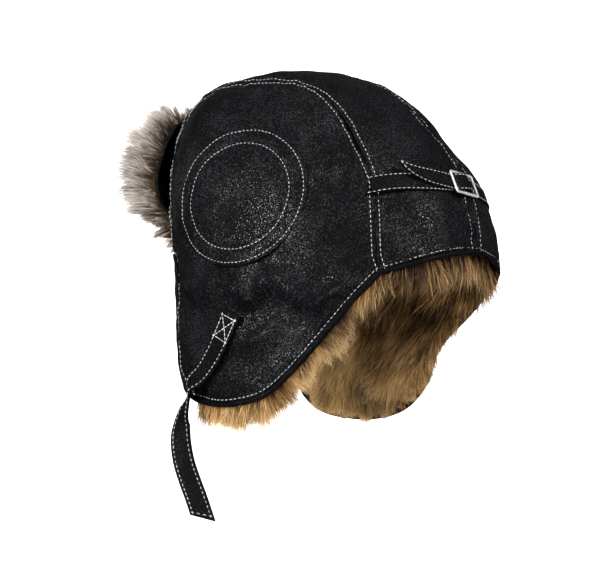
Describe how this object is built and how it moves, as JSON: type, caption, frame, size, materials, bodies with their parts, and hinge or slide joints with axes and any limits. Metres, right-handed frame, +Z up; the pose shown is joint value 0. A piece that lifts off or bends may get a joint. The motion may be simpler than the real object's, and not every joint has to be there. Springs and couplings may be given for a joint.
{
  "type": "trooper hat",
  "caption": "Black leather trooper hat with fur-lined ear flaps, a turned-up fur front flap, round ear pieces, a buckled back strap and a free chin strap.",
  "frame": {"origin": "middle of the head opening at the level of the band, where the hat is widest and sits on the head", "axes": "+Z up towards the crown, the front of the hat faces -Y, the wearer's left is +X"},
  "size_m": [0.1887, 0.2439, 0.2847],
  "materials": {
    "shell_leather": "black crackled grain, semi-gloss",
    "strap_leather": "black fine grain, satin",
    "lining_fur": "long golden brown pile fur with dark roots",
    "flap_fur": "long grey beige pile fur with pale tips",
    "nickel": "dull nickel plate"
  },
  "bodies": {
    "root": {"crown_panel_left": "shell_leather", "crown_panel_right": "shell_leather", "side_panel_left": "shell_leather", "side_panel_right": "shell_leather", "ear_disc_left": "shell_leather", "ear_disc_right": "shell_leather", "rolled_hem": "shell_leather", "front_flap": "shell_leather", "front_flap_fur": "flap_fur", "fur_lining_cap": "lining_fur", "fur_lining_flap_left": "lining_fur", "fur_lining_flap_right": "lining_fur", "chin_strap_left": "strap_leather", "chin_tab_right": "strap_leather", "chin_buckle_right": "nickel", "back_strap_left": "strap_leather", "back_strap_right": "strap_leather", "back_buckle": "nickel"}
  },
  "joints": []
}
